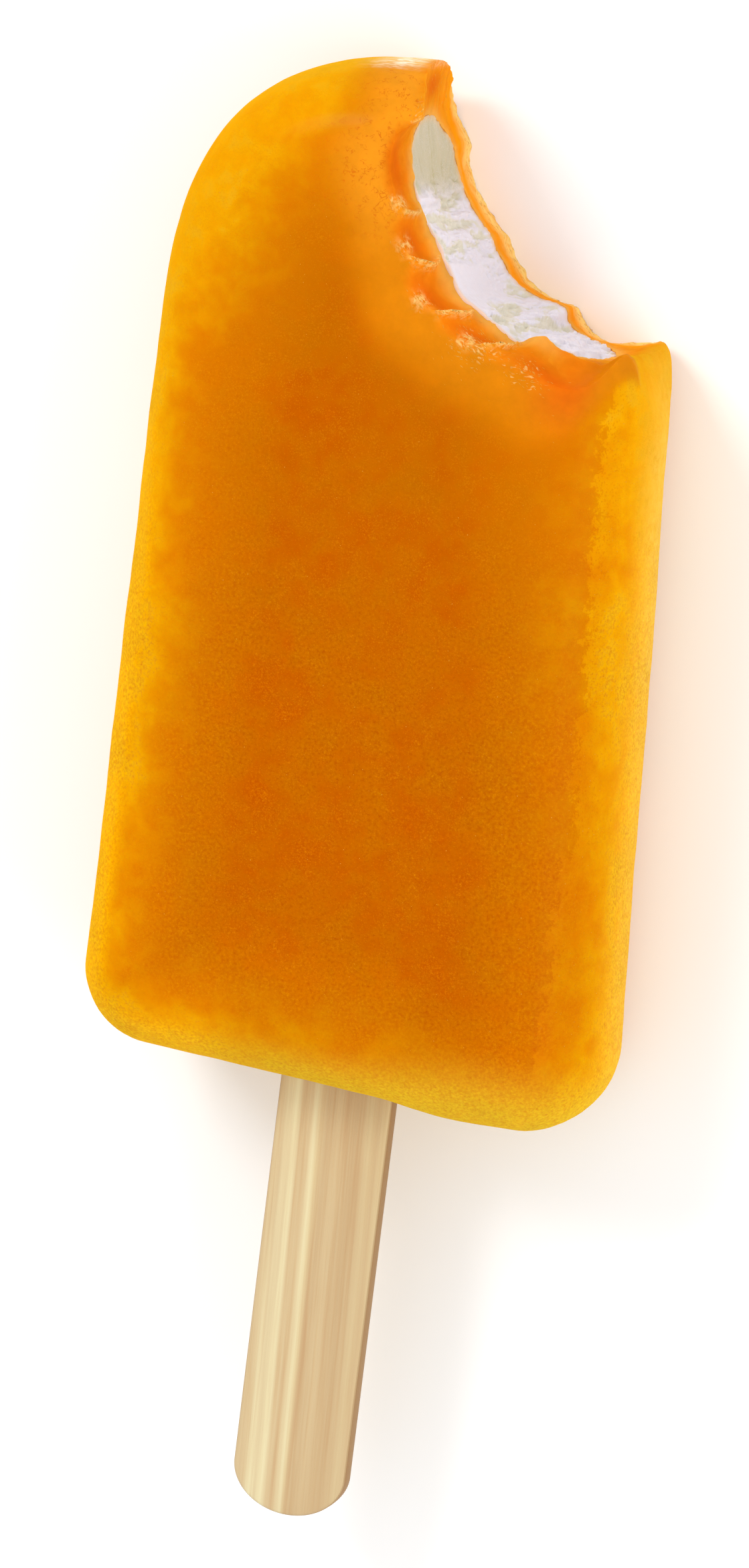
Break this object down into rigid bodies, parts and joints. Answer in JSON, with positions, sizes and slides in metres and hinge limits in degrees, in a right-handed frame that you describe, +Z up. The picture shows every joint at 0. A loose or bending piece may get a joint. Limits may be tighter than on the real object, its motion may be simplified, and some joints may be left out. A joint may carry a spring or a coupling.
{
  "type": "bitten ice lolly",
  "caption": "Ice lolly on a flat wooden stick: an orange fruit-ice shell round an ice-cream core, with a bite out of one shoulder that shows the core.",
  "frame": {"origin": "centre of the bounding box's bottom face, on the surface that the lolly lies on", "axes": "+Z up, out of the shown front face; +Y along the lolly from the stick to the tip; +X to the side with the bite"},
  "size_m": [0.0498, 0.136, 0.024],
  "materials": {
    "fruit_ice": "frosty orange fruit ice, golden and slightly see-through at its edges, wet where it is bitten",
    "ice_cream": "flaky off-white ice cream",
    "wood": "pale bare birch with lengthwise streaks"
  },
  "bodies": {
    "root": {"fruit_ice_shell": "fruit_ice", "ice_cream_core": "ice_cream", "wooden_stick": "wood"}
  },
  "joints": []
}
